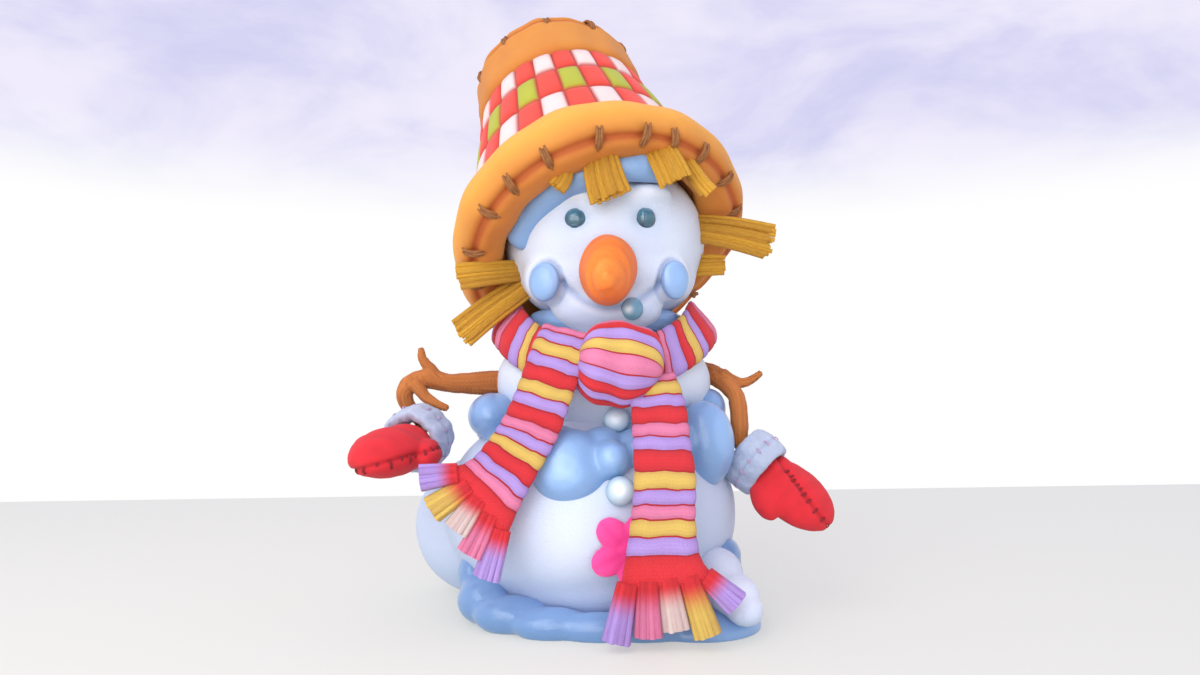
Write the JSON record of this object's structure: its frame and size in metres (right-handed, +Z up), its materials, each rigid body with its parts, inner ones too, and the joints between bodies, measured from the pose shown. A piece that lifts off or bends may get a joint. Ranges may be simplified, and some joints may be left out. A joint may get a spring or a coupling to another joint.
{
  "type": "snowman",
  "caption": "Melting snowman with carrot nose, checked hat with padded rolls, striped knit scarf, twig arms, mittens and a wet slush belt",
  "frame": {"origin": "on the flat underside of the lower snow ball, where it stands on the ground", "axes": "+Z is up, the snowman faces -Y, and +X is to the viewer's right"},
  "size_m": [0.8513, 0.7178, 1.2317],
  "materials": {
    "snow": "packed white snow, soft and slightly blue in its hollows",
    "slush": "wet blue slush, opaque, smooth and glossy",
    "pebble": "dark teal glassy pebble",
    "ice": "pale teal glassy ice with a light middle",
    "carrot": "orange root with fine rings",
    "petal": "hot pink felt petals",
    "padding": "tan orange padded cloth with laced seams",
    "weave": "puffy woven checks in red, pale pink and lime",
    "straw": "golden straw, grooved, with cut ends",
    "knit": "ribbed knit in red, pink, lavender and yellow stripes",
    "lavender_yarn": "lavender yarn",
    "yellow_yarn": "yellow yarn",
    "cream_yarn": "cream yarn",
    "pink_yarn": "pink yarn",
    "twig": "orange brown bark",
    "mitten": "red felt with dark red blanket stitches",
    "fleece": "pale blue grey fleece"
  },
  "bodies": {
    "root": {"lower_snow_ball": "snow", "middle_snow_ball": "snow", "snow_head": "snow", "slush_drip": "snow", "base_slush": "slush", "waist_slush": "slush", "neck_slush": "slush", "brow_slush": "slush", "left_cheek": "slush", "right_cheek": "slush", "mouth_lump": "slush", "left_eye": "pebble", "right_eye": "pebble", "upper_button": "ice", "lower_button": "ice", "carrot_nose": "carrot", "flower": "petal", "hat_brim": "padding", "hat_top_roll": "padding", "hat_crown": "weave", "hat_top": "weave", "straw_front": "straw", "straw_front_small": "straw", "straw_right": "straw", "straw_right_small": "straw", "straw_side_left": "straw", "straw_long_left": "straw", "straw_big_right": "straw", "straw_low_right": "straw", "scarf": "knit", "tassel_lavender_1": "lavender_yarn", "tassel_lavender_2": "lavender_yarn", "tassel_lavender_3": "lavender_yarn", "tassel_lavender_4": "lavender_yarn", "tassel_yellow_1": "yellow_yarn", "tassel_yellow_2": "yellow_yarn", "tassel_cream_1": "cream_yarn", "tassel_cream_2": "cream_yarn", "tassel_pink_1": "pink_yarn", "tassel_pink_2": "pink_yarn", "left_arm": "twig", "left_twig_up": "twig", "left_twig_low": "twig", "right_arm": "twig", "right_twig": "twig", "left_mitten": "mitten", "right_mitten": "mitten", "left_cuff": "fleece", "right_cuff": "fleece"}
  },
  "joints": []
}
